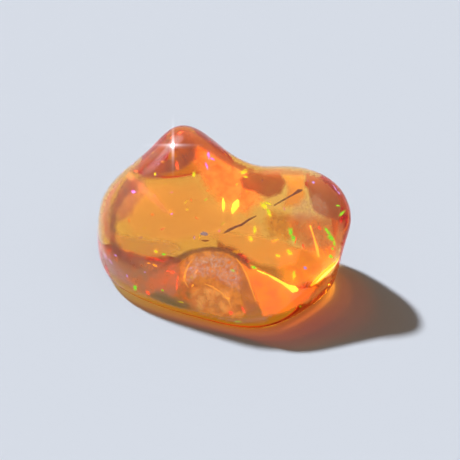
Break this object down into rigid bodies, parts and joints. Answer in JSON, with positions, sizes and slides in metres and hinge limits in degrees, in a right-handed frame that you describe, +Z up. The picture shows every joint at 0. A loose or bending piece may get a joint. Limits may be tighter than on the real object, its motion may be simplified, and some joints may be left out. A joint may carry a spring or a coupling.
{
  "type": "polished fire opal",
  "caption": "Free-form polished fire opal: a clear orange gem pebble with a peak, a saddle and a shoulder, lying on its own flat.",
  "frame": {"origin": "centre of the stone's box, at the level of the flat that it lies on", "axes": "+X along the stone's length towards the shoulder, +Y towards the back, +Z up from the flat"},
  "size_m": [0.016, 0.0106, 0.0091],
  "materials": {
    "clear_orange_opal": "polished, see-through, with small coloured flashes inside"
  },
  "bodies": {
    "root": {"fire_opal": "clear_orange_opal"}
  },
  "joints": []
}
